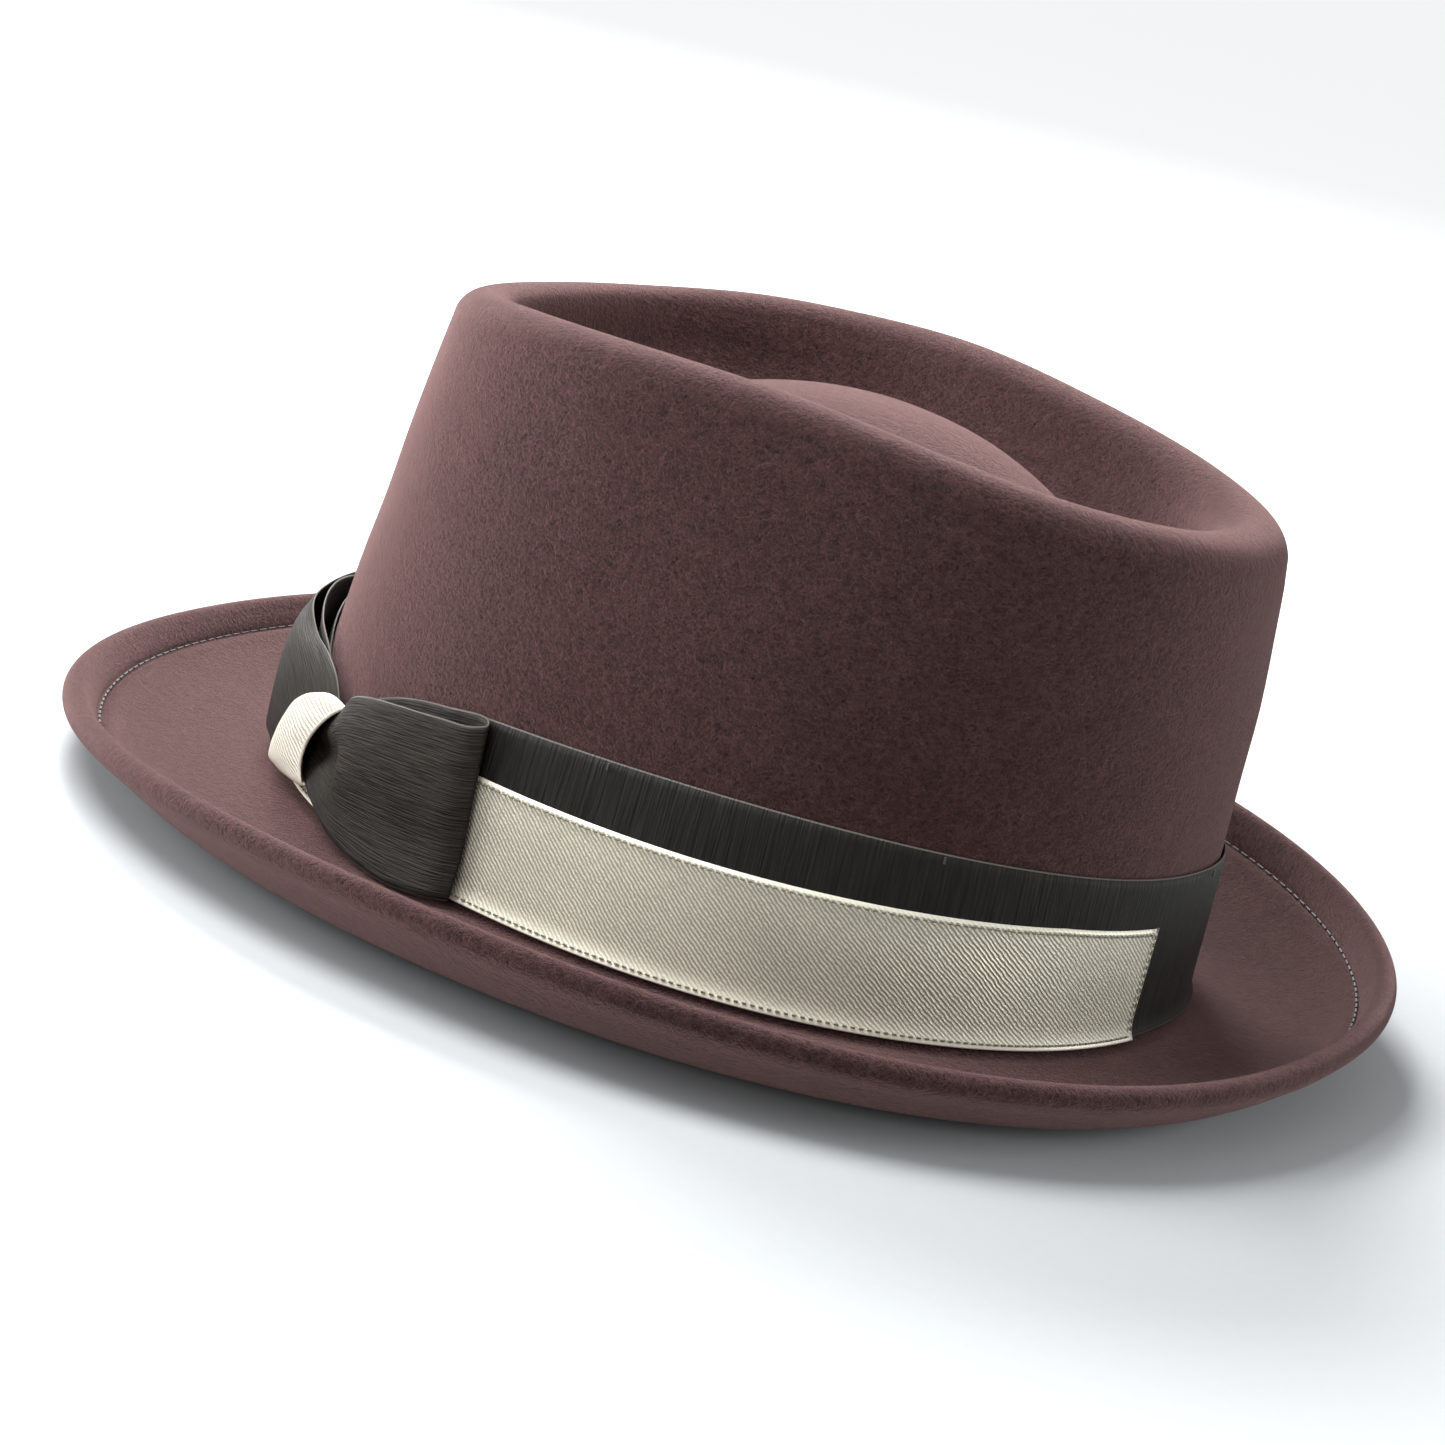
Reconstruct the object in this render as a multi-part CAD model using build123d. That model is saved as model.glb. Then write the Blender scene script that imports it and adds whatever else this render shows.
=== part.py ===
"""A felt fedora with a teardrop crown, a rolled welt brim, a grosgrain band and a side bow.

The hat stands level on its brim: +Z is up, the wearer faces -Y, and the wearer's left is +X.
Angles round the crown ("turn") are in degrees from the front, growing towards the wearer's left.
Heights are first taken from the crown's foot; place() then lifts every piece to stand on z = 0,
centred on the brim's outline.
"""

from build123d import *
import math
import os

# Head opening and felt, mm
FELT_THICKNESS = 2.2
FOOT_LENGTH_HALF = 103.3
FOOT_WIDTH_HALF = 87.0
FOOT_SQUARENESS = 2.2
FOOT_SADDLE = 1.6
FILLET_RUN = 6.0
FILLET_RADIUS = 4.5

# Crown wall: how far it swells beyond a straight line at its middle
WALL_BELLY = 1.2
WALL_SHARES = (0.85, 0.65, 0.45, 0.25, 0.1)

# Crown rim, the roll round the dent
RIM_TOP_FRONT = 113.0
RIM_TOP_BACK = 110.0
RIM_TOP_SIDE = 119.2
RIM_INSET_FRONT = 22.5
RIM_INSET_BACK = 11.5
RIM_INSET_SIDE = 20.9
RIM_RADIUS_FRONT = 5.4
RIM_RADIUS_BACK = 9.3
RIM_RADIUS_SIDE = 8.3
RIM_INNER_ANGLE = 20
TEARDROP = 0.18

# Dent and the dome inside it
DOME_TOP = 111.0
DOME_POWER = 2.3
DOME_BACK_SHIFT = 10.0
CHANNEL_REACH = 0.8
CHANNEL_DEPTH = 22.0
TIP_REACH = 0.06
DOME_REACHES = (0.2, 0.36, 0.5, 0.62, 0.73)
# Inner wall of the channel: share of the way out to the rim, share of the climb to its top
CHANNEL_WALL = ((0.82, 0.01), (0.9, 0.14), (0.96, 0.38))

# Brim: half sizes to its outermost line, and the lip's height and tilt
BRIM_FRONT = 154.7
BRIM_BACK = 146.6
BRIM_SIDE = 141.7
BRIM_SQUARENESS = 2.15
LIP_HEIGHT_FRONT = 9.1
LIP_HEIGHT_BACK = 12.4
LIP_HEIGHT_SIDE = 18.0
LIP_HEIGHT_LEAN = -4.9
LIP_TILT_FRONT = 13.5
LIP_TILT_BACK = 42.0
LIP_TILT_SIDE = 46.5
LIP_SHARPNESS = 1.3
LIP_RADIUS = 2.8
WELT_WIDTH = 9.0
GROOVE_DEPTH = 0.9
GROOVE_HALF_WIDTH = 0.7
GROOVE_LEVEL = -0.2
WELT_SHOULDER = 0.34
WELT_MIDDLE = 0.82
UNDERSIDE_REACH = 0.55
BRIM_DIP = 0.08
BRIM_START_RISE = 0.1
BRIM_END_INSET = 1.8
BRIM_END_LEVEL = -0.18

# Ribbons
BAND_THICKNESS = 0.7
BAND_CLEARANCE = 0.3
BAND_TOP = 39.0
BAND_TOP_WAVE = 1.7
BAND_TOP_WAVE_TURN = 130.0
BAND_BOTTOM_GAP = 2.2
# The bow draws the band's upper edge down behind it
BOW_DIP = 15.0
BOW_DIP_TURN = 46.0
BOW_DIP_SPREAD = 14.0
BAND_TACK_TURNS = (95, 140, 185, 230, 275, 320)
BAND_TACK_DROP = 1.2
BAND_TACK_HALF_LENGTH = 0.7
FOOT_FLARE = 1.75
STRIP_THICKNESS = 0.5
STRIP_WIDTH = 26.0
STRIP_OVERHANG = 0.3
STRIP_START_TURN = 38.0
STRIP_END_TURN = 172.6
STRIP_GAP = 0.06
STRIP_BELOW_BAND_TOP = 11.0
FLARE_LOW = 1.5
FLARE_HIGH = 5.0

# Bow: turns are degrees round the crown, heights are above the crown's foot
BOW_SHEET = 0.8
BOW_STANDOFF = 0.9
BOW_FLARE_POWER = 2.6
KNOT_TURN = 43.0
KNOT_HALF_TURN = 7.0
KNOT_GAP_TURN = 0.2
KNOT_LOW = 4.4
KNOT_HIGH = 21.5
KNOT_SLANT = 8.0
KNOT_NEAR = 0.3
KNOT_FAR = 6.2
KNOT_ROUND = 1.2
FRONT_LOOP_END_TURN = 78.0
FRONT_LOOP_WAIST = (9.5, 20.5)
FRONT_LOOP_FOLD = (0.9, 37.6)
FRONT_LOOP_PUFF = 6.0
BACK_LOOP_END_TURN = -4.0
BACK_LOOP_WAIST = (6.5, 17.5)
BACK_LOOP_FOLD = (2.0, 38.5)
BACK_LOOP_PUFF = 6.5
LOOP_NECK = 0.35
LOOP_BELLY = 2.2
LOOP_FOLD_THICKNESS = 2.4
LOOP_FOLD_TURN = 0.6
LOOP_LEAN_SPAN = 16.0

# Threads
THREAD = 0.45
WELT_STITCH_PITCH = 3.4
WELT_STITCH_LENGTH = 2.3
WELT_THREAD_INSET = 0.75
WELT_THREAD_HEIGHT = -0.75
STRIP_STITCH_PITCH = 1.7
STRIP_STITCH_LENGTH = 0.9
STRIP_STITCH_INSET = 1.1
STRIP_END_INSET_TURN = 0.7

# Inside of the crown
WALL_LEAN_ALLOWANCE = 1.04
SWEAT_THICKNESS = 0.9
SWEAT_CLEARANCE = 0.3
SWEAT_TOP = 42.0
SWEAT_BOTTOM = 0.4
SWEAT_STITCH_LIFT = 2.4
SWEAT_STITCH_PITCH = 3.2
SWEAT_STITCH_LENGTH = 2.0
REED_RADIUS = 0.7
REED_INSET = 1.5
TAPE_THICKNESS = 0.3
TAPE_GAP = 0.08
LINING_THICKNESS = 0.4
LINING_CLEARANCE = 0.3
LINING_BOTTOM = 9.0
LINING_TOP = 76.0
LINING_TIP_GAP = 0.1
PIPING_RADIUS = 0.9
REAR_BOW_HALF_TURN = 6.5
REAR_BOW_MIDDLE = 9.0
REAR_BOW_HALF_HEIGHT = 4.5
REAR_BOW_THICKNESS = 1.2
REAR_BOW_WAIST = 0.35

RING_POINTS = 32
RING_SECTIONS = 24
STRIP_SECTIONS = 16
LOOP_SECTIONS = 8
KNOT_SECTIONS = 4
STITCH_MARKS = 720


def blend(front, back, side, turn, sharpness=1.0):
    """A size that eases from its front value through its side value to its back value."""
    end = (front + back) / 2 + (front - back) / 2 * math.cos(turn)
    weight = abs(math.sin(turn)) ** (2 * sharpness)
    return end * (1 - weight) + side * weight


def oval(front, back, side, power, turn):
    """Distance from the middle to a squared oval."""
    length = front if math.cos(turn) > 0 else back
    total = abs(math.cos(turn) / length) ** power + abs(math.sin(turn) / side) ** power
    return total ** (-1 / power)


def spot(turn, radius, height):
    """The point at a turn, a distance from the middle and a height."""
    return Vector(radius * math.sin(turn), -radius * math.cos(turn), height)


# ---- felt surface --------------------------------------------------------------------------

def foot_radius(turn):
    return oval(FOOT_LENGTH_HALF, FOOT_LENGTH_HALF, FOOT_WIDTH_HALF, FOOT_SQUARENESS, turn)


def foot_height(turn):
    return FOOT_SADDLE * math.cos(2 * turn)


def wall_radius(turn, height):
    """Outer face of the crown wall, leaning from its foot to the outside of the rim."""
    centre, shoulder, radius = rim_shape(turn)
    share = height / shoulder
    belly = WALL_BELLY * 4 * share * (1 - share)
    return foot_radius(turn) + (centre + radius - foot_radius(turn)) * share + belly


def rim_shape(turn):
    """Centre distance, centre height and radius of the crown's rolled rim."""
    radius = blend(RIM_RADIUS_FRONT, RIM_RADIUS_BACK, RIM_RADIUS_SIDE, turn)
    inset = blend(RIM_INSET_FRONT, RIM_INSET_BACK, RIM_INSET_SIDE, turn)
    egg = 1 + TEARDROP * math.sin(turn) ** 2 * math.cos(turn)
    top = blend(RIM_TOP_FRONT, RIM_TOP_BACK, RIM_TOP_SIDE, turn)
    return (foot_radius(turn) - inset) * egg, top - radius, radius


def dome_height(turn, reach):
    """Top of the felt inside the rim; reach runs from 0 at the tip to 1 at the rim."""
    centre, height, radius = rim_shape(turn)
    floor = height + radius - CHANNEL_DEPTH
    return DOME_TOP + (floor - DOME_TOP) * min(reach / CHANNEL_REACH, 1) ** DOME_POWER


def dent_section(turn):
    """Outer face from the tip, over the dome and channel, to the foot of the inner wall."""
    centre, height, radius = rim_shape(turn)
    inner = centre - radius * math.cos(math.radians(RIM_INNER_ANGLE))
    points = [(inner * TIP_REACH, DOME_TOP)]
    for reach in DOME_REACHES:
        points.append((inner * reach, dome_height(turn, reach)))
    floor = height + radius - CHANNEL_DEPTH
    for reach, climb in CHANNEL_WALL:
        points.append((inner * reach, floor + CHANNEL_DEPTH * climb))
    return points


def rim_section(turn):
    """Outer face over the crown's rolled rim, from inside to outside."""
    centre, height, radius = rim_shape(turn)
    points = []
    for step in range(160, -1, -20):
        angle = math.radians(step)
        points.append((centre + radius * math.cos(angle), height + radius * math.sin(angle)))
    return points


def wall_section(turn):
    """Outer face down the crown wall to the fillet at its foot."""
    shoulder = rim_shape(turn)[1]
    low = foot_height(turn)
    points = []
    for share in WALL_SHARES:
        points.append((wall_radius(turn, shoulder * share), shoulder * share))
    for step in (20, 45, 70):
        angle = math.radians(step)
        reach = FILLET_RADIUS * (1 - math.cos(angle))
        points.append((foot_radius(turn) + reach, low + FILLET_RADIUS * (1 - math.sin(angle))))
    return points


def lip_frame(turn):
    """Centre of the brim's round edge, with its outward and upward directions."""
    outer = oval(BRIM_FRONT, BRIM_BACK, BRIM_SIDE, BRIM_SQUARENESS, turn)
    height = blend(LIP_HEIGHT_FRONT, LIP_HEIGHT_BACK, LIP_HEIGHT_SIDE, turn, LIP_SHARPNESS)
    height += LIP_HEIGHT_LEAN * math.sin(turn)
    tilt = blend(LIP_TILT_FRONT, LIP_TILT_BACK, LIP_TILT_SIDE, turn, LIP_SHARPNESS)
    tilt = math.radians(tilt)
    out = (math.cos(tilt), math.sin(tilt))
    up = (-math.sin(tilt), math.cos(tilt))
    return (outer - LIP_RADIUS, height), out, up


def on_lip(turn, along, above):
    centre, out, up = lip_frame(turn)
    return (centre[0] + along * out[0] + above * up[0], centre[1] + along * out[1] + above * up[1])


def brim_section(turn):
    """Top face of the brim from the fillet to just inside the stitched groove."""
    start = (foot_radius(turn) + FILLET_RUN, foot_height(turn) + BRIM_START_RISE)
    inner = LIP_RADIUS - WELT_WIDTH
    end = on_lip(turn, inner - BRIM_END_INSET, LIP_RADIUS * BRIM_END_LEVEL)
    out = lip_frame(turn)[1]
    run = end[0] - start[0]
    points = [start]
    for part in (0.18, 0.36, 0.54, 0.7, 0.86):
        a = (1 + 2 * part) * (1 - part) ** 2
        b = part * (1 - part) ** 2
        c = part ** 2 * (3 - 2 * part)
        d = part ** 2 * (part - 1)
        radius = a * start[0] + b * run + c * end[0] + d * run * out[0]
        height = a * start[1] - b * run * BRIM_DIP + c * end[1] + d * run * out[1]
        points.append((radius, height))
    points.append(end)
    return points


def lip_section(turn):
    """From the groove over the folded welt and round the brim's edge to its underside."""
    inner = LIP_RADIUS - WELT_WIDTH
    groove = LIP_RADIUS * GROOVE_LEVEL - GROOVE_DEPTH
    points = [on_lip(turn, inner - GROOVE_HALF_WIDTH, groove)]
    points.append(on_lip(turn, inner + GROOVE_HALF_WIDTH, LIP_RADIUS * WELT_SHOULDER))
    points.append(on_lip(turn, inner / 2, LIP_RADIUS * WELT_MIDDLE))
    for step in range(90, -91, -30):
        angle = math.radians(step)
        points.append(on_lip(turn, LIP_RADIUS * math.cos(angle), LIP_RADIUS * math.sin(angle)))
    points.append(on_lip(turn, inner * UNDERSIDE_REACH, -LIP_RADIUS))
    return points


def offset_section(points, distance):
    """The same line moved square to itself, towards the inside of the hat."""
    moved = []
    for index, (radius, height) in enumerate(points):
        before = points[max(index - 1, 0)]
        after = points[min(index + 1, len(points) - 1)]
        run = after[0] - before[0]
        rise = after[1] - before[1]
        if index == 0:
            rise = 0
        size = math.hypot(run, rise)
        moved.append((radius + distance * rise / size, height - distance * run / size))
    return moved


def felt_section(turn):
    """The whole closed line of the felt, outside, round the brim's edge and back inside."""
    outside = dent_section(turn) + rim_section(turn) + wall_section(turn) + brim_section(turn)
    inside = offset_section(outside, FELT_THICKNESS)
    inside.reverse()
    return outside + lip_section(turn) + inside


def ring_wire(points):
    return Wire([Edge.make_spline(points, periodic=True)])


def all_turns(count=RING_POINTS):
    return [2 * math.pi * step / count for step in range(count)]


def felt_body():
    """The felt as one solid: rings drawn from the tip out to the brim's edge and back inside."""
    sections = [felt_section(turn) for turn in all_turns()]
    rings = []
    count = len(sections[0])
    for index in range(count):
        slide = Vector(0, DOME_BACK_SHIFT * dome_share(min(index, count - 1 - index)), 0)
        points = []
        for turn, section in zip(all_turns(), sections):
            radius, height = section[index]
            points.append(spot(turn, radius, height) + slide)
        rings.append(ring_wire(points))
    return Solid.make_loft(rings, ruled=True)


def dome_share(step):
    """How far a ring of the dome, counted from the tip, shares in its shift to the back."""
    reaches = (TIP_REACH,) + DOME_REACHES
    if step >= len(reaches):
        return 0.0
    return (1 - reaches[step]) ** 2


def felt_outside(turn, height):
    """Clear radius just outside the felt wall, following the fillet at its foot."""
    above = height - foot_height(turn)
    return wall_radius(turn, height) + FILLET_RADIUS * math.exp(-above / FOOT_FLARE)


def felt_inside(turn, height):
    return wall_radius(turn, height) - FELT_THICKNESS * WALL_LEAN_ALLOWANCE


# ---- sheets wrapped round the crown --------------------------------------------------------

def wrapped(start, end, outline, steps):
    """A solid lofted through flat outlines; outline(turn) gives (radius, height) corners."""
    wires = []
    for step in range(steps + 1):
        turn = math.radians(start + (end - start) * step / steps)
        corners = [spot(turn, radius, height) for radius, height in outline(turn)]
        wires.append(Wire.make_polygon(corners, close=True))
    return Solid.make_loft(wires)


def wrapped_ring(outline, steps=RING_SECTIONS):
    """A closed ring, made as a left and a right half that are joined."""
    left = wrapped(0, 180, outline, steps // 2)
    right = wrapped(180, 360, outline, steps // 2)
    return left.fuse(right)


def between(inner, outer, heights, turn):
    """Corners of a thin sheet's section: up its inner face and down its outer face."""
    up = [(inner(turn, height), height) for height in heights]
    down = [(outer(turn, height), height) for height in reversed(heights)]
    return up + down


def band_inside(turn, height):
    return felt_outside(turn, height) + BAND_CLEARANCE


def band_outside(turn, height):
    return band_inside(turn, height) + BAND_THICKNESS


def band_top(turn):
    wave = BAND_TOP_WAVE * math.cos(2 * (turn - math.radians(BAND_TOP_WAVE_TURN)))
    from_bow = (math.degrees(turn) - BOW_DIP_TURN) / BOW_DIP_SPREAD
    return BAND_TOP + wave - BOW_DIP * math.exp(-from_bow ** 2)


def ribbon_heights(bottom, top):
    """Heights of a ribbon's section, closer together where it flares at the crown's foot."""
    flared = bottom + FLARE_HIGH
    return [bottom, bottom + FLARE_LOW, flared, (flared + top) / 2, top]


def hat_band():
    def outline(turn):
        heights = ribbon_heights(foot_height(turn) + BAND_BOTTOM_GAP, band_top(turn))
        return between(band_inside, band_outside, heights, turn)
    return wrapped_ring(outline)


def strip_bottom(turn):
    return foot_height(turn) + BAND_BOTTOM_GAP - STRIP_OVERHANG


def strip_top(turn):
    return min(strip_bottom(turn) + STRIP_WIDTH, band_top(turn) - STRIP_BELOW_BAND_TOP)


def strip_inside(turn, height):
    return band_outside(turn, height) + STRIP_GAP


def strip_outside(turn, height):
    return strip_inside(turn, height) + STRIP_THICKNESS


def trim_strip():
    def outline(turn):
        heights = ribbon_heights(strip_bottom(turn), strip_top(turn))
        return between(strip_inside, strip_outside, heights, turn)
    return wrapped(STRIP_START_TURN, STRIP_END_TURN, outline, STRIP_SECTIONS)


# ---- threads -------------------------------------------------------------------------------

def thread_between(first, last):
    """One straight stitch as a short round rod."""
    run = last - first
    return Solid.make_cylinder(THREAD / 2, run.length, Plane(origin=first, z_dir=run))


def stitch_row(point_at, start, end, pitch, length):
    """Stitches along point_at(turn), spaced by true distance; turns in degrees."""
    travelled = 0.0
    marks = [(0.0, start)]
    here = point_at(math.radians(start))
    for step in range(1, STITCH_MARKS + 1):
        degrees = start + (end - start) * step / STITCH_MARKS
        there = point_at(math.radians(degrees))
        travelled += (there - here).length
        marks.append((travelled, degrees))
        here = there

    def turn_at(distance):
        for (low, before), (high, after) in zip(marks, marks[1:]):
            if low <= distance <= high:
                return math.radians(before + (after - before) * (distance - low) / (high - low))
        return math.radians(end)

    count = int(travelled / pitch)
    stitches = []
    for index in range(count):
        middle = (index + 0.5) * travelled / count
        first = point_at(turn_at(middle - length / 2))
        last = point_at(turn_at(middle + length / 2))
        stitches.append(thread_between(first, last))
    return Compound(children=stitches)


def welt_stitching():
    def thread_line(turn):
        inner = LIP_RADIUS - WELT_WIDTH
        radius, height = on_lip(turn, inner - WELT_THREAD_INSET, WELT_THREAD_HEIGHT)
        return spot(turn, radius, height)
    return stitch_row(thread_line, 0, 360, WELT_STITCH_PITCH, WELT_STITCH_LENGTH)


def strip_stitching(height_at):
    """A row of stitches along the strip at height_at(turn)."""
    def line(turn):
        height = height_at(turn)
        return spot(turn, strip_outside(turn, height) + THREAD, height)
    first = STRIP_START_TURN + 1
    last = STRIP_END_TURN - 1
    return stitch_row(line, first, last, STRIP_STITCH_PITCH, STRIP_STITCH_LENGTH)


def strip_top_stitching():
    return strip_stitching(lambda turn: strip_top(turn) - STRIP_STITCH_INSET)


def strip_bottom_stitching():
    return strip_stitching(lambda turn: strip_bottom(turn) + STRIP_STITCH_INSET)


def strip_end_stitching():
    turn = math.radians(STRIP_END_TURN - STRIP_END_INSET_TURN)
    bottom = strip_bottom(turn)
    count = int((STRIP_WIDTH - 2 * STRIP_STITCH_INSET) / STRIP_STITCH_PITCH)
    stitches = []
    for index in range(count):
        low = bottom + 2 * STRIP_STITCH_INSET + index * STRIP_STITCH_PITCH
        ends = []
        for height in (low, low + STRIP_STITCH_LENGTH):
            ends.append(spot(turn, strip_outside(turn, height) + THREAD, height))
        stitches.append(thread_between(ends[0], ends[1]))
    return Compound(children=stitches)


def band_tack_stitches():
    """Small upright tacks that hold the band's top edge to the felt."""
    tacks = []
    for degrees in BAND_TACK_TURNS:
        turn = math.radians(degrees)
        middle = band_top(turn) - BAND_TACK_DROP
        ends = []
        for height in (middle - BAND_TACK_HALF_LENGTH, middle + BAND_TACK_HALF_LENGTH):
            ends.append(spot(turn, band_outside(turn, height) + THREAD, height))
        tacks.append(thread_between(ends[0], ends[1]))
    return Compound(children=tacks)


# ---- bow -----------------------------------------------------------------------------------

def bow_share(turn, start, end):
    return (math.degrees(turn) - start) / (end - start)


def flare(share):
    """How a loop opens out from the knot, 0 at the knot and 1 at its fold."""
    return 1 - (1 - min(max(share, 0), 1)) ** BOW_FLARE_POWER


def loop_shell(start, end, waist, fold, puff):
    """A ribbon loop, open at its top and bottom edges and at the knot."""

    def box(turn, near, far, spare):
        share = bow_share(turn, start, end)
        low = waist[0] + (fold[0] - waist[0]) * flare(share) - spare
        high = waist[1] + (fold[1] - waist[1]) * flare(share) + spare
        heights = (low, (2 * low + high) / 3, (low + 2 * high) / 3, high)
        back = strip_outside(turn, (low + high) / 2)
        inner = [(back + near, height) for height in heights]
        outer = [(back + far(share), height) for height in reversed(heights)]
        return inner + outer

    def outer_off(share):
        belly = puff * (1 - share) * (LOOP_NECK + LOOP_BELLY * share)
        return BOW_STANDOFF + LOOP_FOLD_THICKNESS + belly

    def whole(turn):
        return box(turn, BOW_STANDOFF + loop_lift(turn), outer_off, 0)

    def hollow(turn):
        near = BOW_STANDOFF + loop_lift(turn) + BOW_SHEET
        return box(turn, near, lambda share: outer_off(share) - BOW_SHEET, LOOP_FOLD_THICKNESS)

    step = 1 if end > start else -1
    solid = wrapped(start, end, whole, LOOP_SECTIONS)
    void = wrapped(start - step, end - step * LOOP_FOLD_TURN, hollow, LOOP_SECTIONS)
    return solid.cut(void)


def loop_lift(turn):
    """Extra room behind a loop for the crown's lean between its foot and its top."""
    return foot_radius(turn) - wall_radius(turn, LOOP_LEAN_SPAN)


def bow_front_loop():
    start = KNOT_TURN + KNOT_HALF_TURN + KNOT_GAP_TURN
    return loop_shell(start, FRONT_LOOP_END_TURN, FRONT_LOOP_WAIST, FRONT_LOOP_FOLD, FRONT_LOOP_PUFF)


def bow_back_loop():
    start = KNOT_TURN - KNOT_HALF_TURN - KNOT_GAP_TURN
    return loop_shell(start, BACK_LOOP_END_TURN, BACK_LOOP_WAIST, BACK_LOOP_FOLD, BACK_LOOP_PUFF)


def bow_knot():
    """The wrapped ribbon that gathers the two loops."""
    start = KNOT_TURN - KNOT_HALF_TURN
    end = KNOT_TURN + KNOT_HALF_TURN

    def outline(turn):
        share = bow_share(turn, start, end)
        rise = KNOT_SLANT * (share - 0.5)
        low = KNOT_LOW + rise
        high = KNOT_HIGH + rise
        near = strip_outside(turn, low) + KNOT_NEAR
        far = near + KNOT_FAR - KNOT_ROUND * (2 * share - 1) ** 2
        corner = (high - low) / 5
        return [
            (near, low + corner), (near, high - corner), (near + KNOT_FAR / 2, high),
            (far, high - corner), (far, low + corner), (near + KNOT_FAR / 2, low),
        ]
    return wrapped(start, end, outline, KNOT_SECTIONS)


# ---- inside the crown ----------------------------------------------------------------------

def lining_outside(turn, height):
    return felt_inside(turn, height) - LINING_CLEARANCE


def lining_inside(turn, height):
    return lining_outside(turn, height) - LINING_THICKNESS


def sweat_outside(turn, height):
    return lining_inside(turn, height) - SWEAT_CLEARANCE


def sweat_inside(turn, height):
    return sweat_outside(turn, height) - SWEAT_THICKNESS


def sweatband():
    def outline(turn):
        bottom = foot_height(turn) + SWEAT_BOTTOM
        heights = [bottom, (bottom + SWEAT_TOP) / 2, SWEAT_TOP]
        return between(sweat_inside, sweat_outside, heights, turn)
    return wrapped_ring(outline)


def sweatband_stitching():
    def line(turn):
        height = foot_height(turn) + SWEAT_STITCH_LIFT
        return spot(turn, sweat_inside(turn, height) - THREAD, height)
    return stitch_row(line, 0, 360, SWEAT_STITCH_PITCH, SWEAT_STITCH_LENGTH)


def sweatband_rear_bow():
    """The small flat ribbon bow that covers the sweatband's rear seam."""
    def outline(turn):
        share = abs(math.degrees(turn) - 180) / REAR_BOW_HALF_TURN
        spread = REAR_BOW_HALF_HEIGHT * (REAR_BOW_WAIST + (1 - REAR_BOW_WAIST) * share)
        near = sweat_inside(turn, REAR_BOW_MIDDLE) - THREAD
        far = near - REAR_BOW_THICKNESS
        low = REAR_BOW_MIDDLE - spread
        high = REAR_BOW_MIDDLE + spread
        return [(near, low), (near, high), (far, high), (far, low)]
    return wrapped(180 - REAR_BOW_HALF_TURN, 180 + REAR_BOW_HALF_TURN, outline, KNOT_SECTIONS)


def round_ring(centre, outer, inner=0.0):
    """A ring with a round section; centre(turn) gives its middle radius and height."""
    def outline(size):
        def corners(turn):
            radius, height = centre(turn)
            angles = [math.radians(step) for step in range(0, 360, 45)]
            return [(radius + size * math.cos(a), height + size * math.sin(a)) for a in angles]
        return corners
    ring = wrapped_ring(outline(outer))
    return ring.cut(wrapped_ring(outline(inner))) if inner else ring


def reed_centre(turn):
    height = foot_height(turn) - REED_RADIUS
    return sweat_outside(turn, 0) + REED_INSET, height


def sweatband_reed():
    return round_ring(reed_centre, REED_RADIUS)


def reed_tape():
    inner = REED_RADIUS + TAPE_GAP
    return round_ring(reed_centre, inner + TAPE_THICKNESS, inner)


def lining_side():
    def outline(turn):
        heights = [LINING_BOTTOM, (LINING_BOTTOM + LINING_TOP) / 2, LINING_TOP]
        return between(lining_inside, lining_outside, heights, turn)
    return wrapped_ring(outline)


def lining_tip():
    points = []
    for turn in all_turns():
        points.append(spot(turn, lining_outside(turn, LINING_TOP), LINING_TOP + LINING_TIP_GAP))
    return extrude(Face(ring_wire(points)), amount=LINING_THICKNESS, dir=(0, 0, 1))


def lining_piping():
    def centre(turn):
        height = LINING_TOP - 2 * PIPING_RADIUS
        return lining_inside(turn, height) - PIPING_RADIUS - LINING_CLEARANCE, height
    return round_ring(centre, PIPING_RADIUS)


# ---- assembly ------------------------------------------------------------------------------

def place(shape, shift):
    return shape.moved(Location(shift))


def main():
    os.makedirs("parts", exist_ok=True)
    felt = felt_body()
    box = felt.bounding_box()
    shift = (-(box.min.X + box.max.X) / 2, -(box.min.Y + box.max.Y) / 2, -box.min.Z)
    pieces = {
        "felt_body": felt,
        "welt_stitching": welt_stitching(),
        "hat_band": hat_band(),
        "band_tack_stitches": band_tack_stitches(),
        "trim_strip": trim_strip(),
        "strip_top_stitching": strip_top_stitching(),
        "strip_bottom_stitching": strip_bottom_stitching(),
        "strip_end_stitching": strip_end_stitching(),
        "bow_front_loop": bow_front_loop(),
        "bow_back_loop": bow_back_loop(),
        "bow_knot": bow_knot(),
        "sweatband": sweatband(),
        "sweatband_stitching": sweatband_stitching(),
        "sweatband_rear_bow": sweatband_rear_bow(),
        "sweatband_reed": sweatband_reed(),
        "reed_tape": reed_tape(),
        "lining_side": lining_side(),
        "lining_tip": lining_tip(),
        "lining_piping": lining_piping(),
    }
    for name, shape in pieces.items():
        export_step(place(shape, shift), f"parts/{name}.step")
    print("shift", [round(value, 3) for value in shift])
    print("size", box.size)


main()
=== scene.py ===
"""Looks for a felt fedora with a teardrop crown, a welted brim, a grosgrain band and a bow.

Shapes are worked out in millimetres round the middle of the crown's foot, then put in the frame.
A "turn" is the angle round the crown from the front (-Y) towards the wearer's left (+X).
"""

import math

import bpy
import numpy as np
from mathutils import Matrix, Vector


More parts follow.
